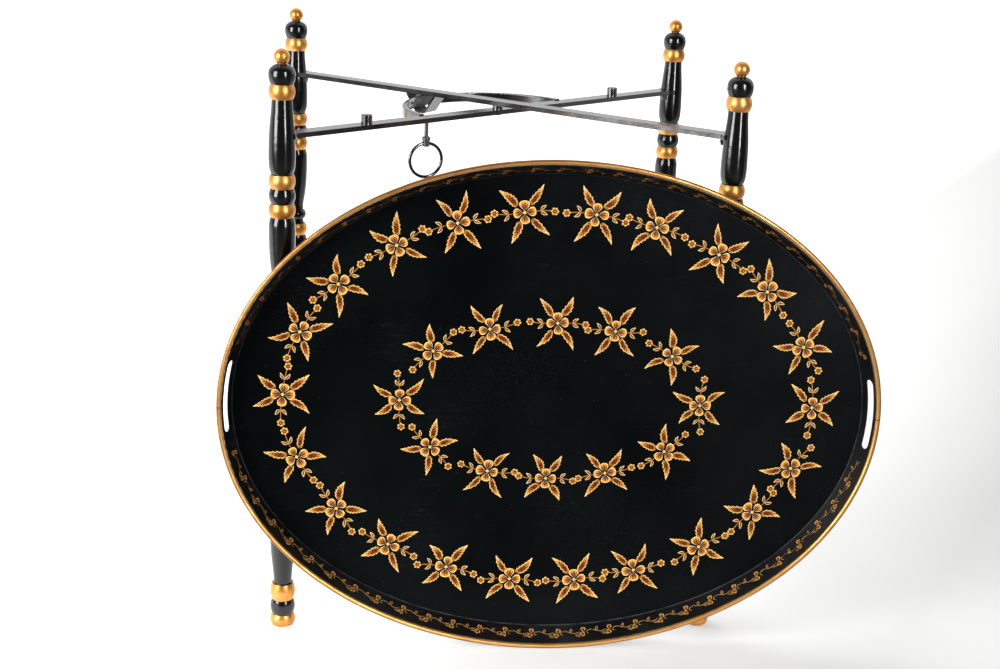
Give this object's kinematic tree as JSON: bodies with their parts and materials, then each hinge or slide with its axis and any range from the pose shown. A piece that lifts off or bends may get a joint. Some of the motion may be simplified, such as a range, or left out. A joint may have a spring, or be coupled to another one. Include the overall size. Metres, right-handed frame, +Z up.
{
  "type": "folding tray table",
  "caption": "Oval painted metal tray with hand slots and rolled rim, standing against its folding stand of four turned posts on crossed iron bars",
  "frame": {"origin": "on the floor under the middle of the whole object: the open stand with the tray standing on its rim in front of it", "axes": "+Z up; +X along the tray's long axis, to the right seen from the painted face; -Y the way the painted face looks"},
  "size_m": [0.6747, 0.4238, 0.61],
  "materials": {
    "black_gold_posts": "gloss black paint with gold-painted turned bands",
    "finials": "gold paint with a black neck",
    "black_iron": "satin black japanned iron",
    "screws": "black paint worn on the edges",
    "painted_floor": "black satin lacquer with gold and ochre hand-painted flower garlands",
    "painted_gallery": "black satin lacquer with a muted gold vine",
    "gilt_rim": "worn gilding with brown streaks",
    "rim_wire": "drawn iron wire"
  },
  "bodies": {
    "frame_a": {"post_fr": "black_gold_posts", "post_bl": "black_gold_posts", "finial_fr": "finials", "finial_bl": "finials", "upper_bar": "black_iron", "stretcher_a": "black_iron", "bar_screws_a": "screws", "hoop_stirrup": "black_iron", "guide_tongue": "black_iron", "pivot_rivet_upper": "screws", "pivot_rivet_lower": "screws", "pivot_spacer_upper": "black_iron", "pivot_spacer_lower": "black_iron"},
    "frame_b": {"post_fl": "black_gold_posts", "post_br": "black_gold_posts", "finial_fl": "finials", "finial_br": "finials", "lower_bar": "black_iron", "stretcher_b": "black_iron", "bar_screws_b": "screws", "hoop": "black_iron", "rest_pegs": "black_iron"},
    "ring_bolt": {"ring_bolt": "screws"},
    "ring": {"pull_ring": "black_iron"},
    "tray": {"tray_floor": "painted_floor", "gallery_top": "painted_gallery", "gallery_bottom": "painted_gallery", "rim_top": "gilt_rim", "rim_bottom": "gilt_rim", "rim_wire_top": "rim_wire", "rim_wire_bottom": "rim_wire"}
  },
  "joints": [
    {"name": "stand_fold", "type": "hinge", "parent": "frame_a", "child": "frame_b", "pos_m": [-0.0501, 0.02407, 0.532], "axis": [0, 0, 1], "range_deg": [-61, 0]},
    {"name": "ring_bolt_turn", "type": "hinge", "parent": "frame_b", "child": "ring_bolt", "pos_m": [-0.12934, -0.03759, 0.515], "axis": [0, 0, 1], "continuous": true},
    {"name": "ring_swing", "type": "hinge", "parent": "ring_bolt", "child": "ring", "pos_m": [-0.12934, -0.03759, 0.5002], "axis": [0.9397, 0.342, 0], "range_deg": [-80, 80]},
    {"name": "tray_lift_off", "type": "slide", "parent": "frame_a", "child": "tray", "axis": [0, -0.8, 0.6], "range_m": [0, 0.3]}
  ]
}
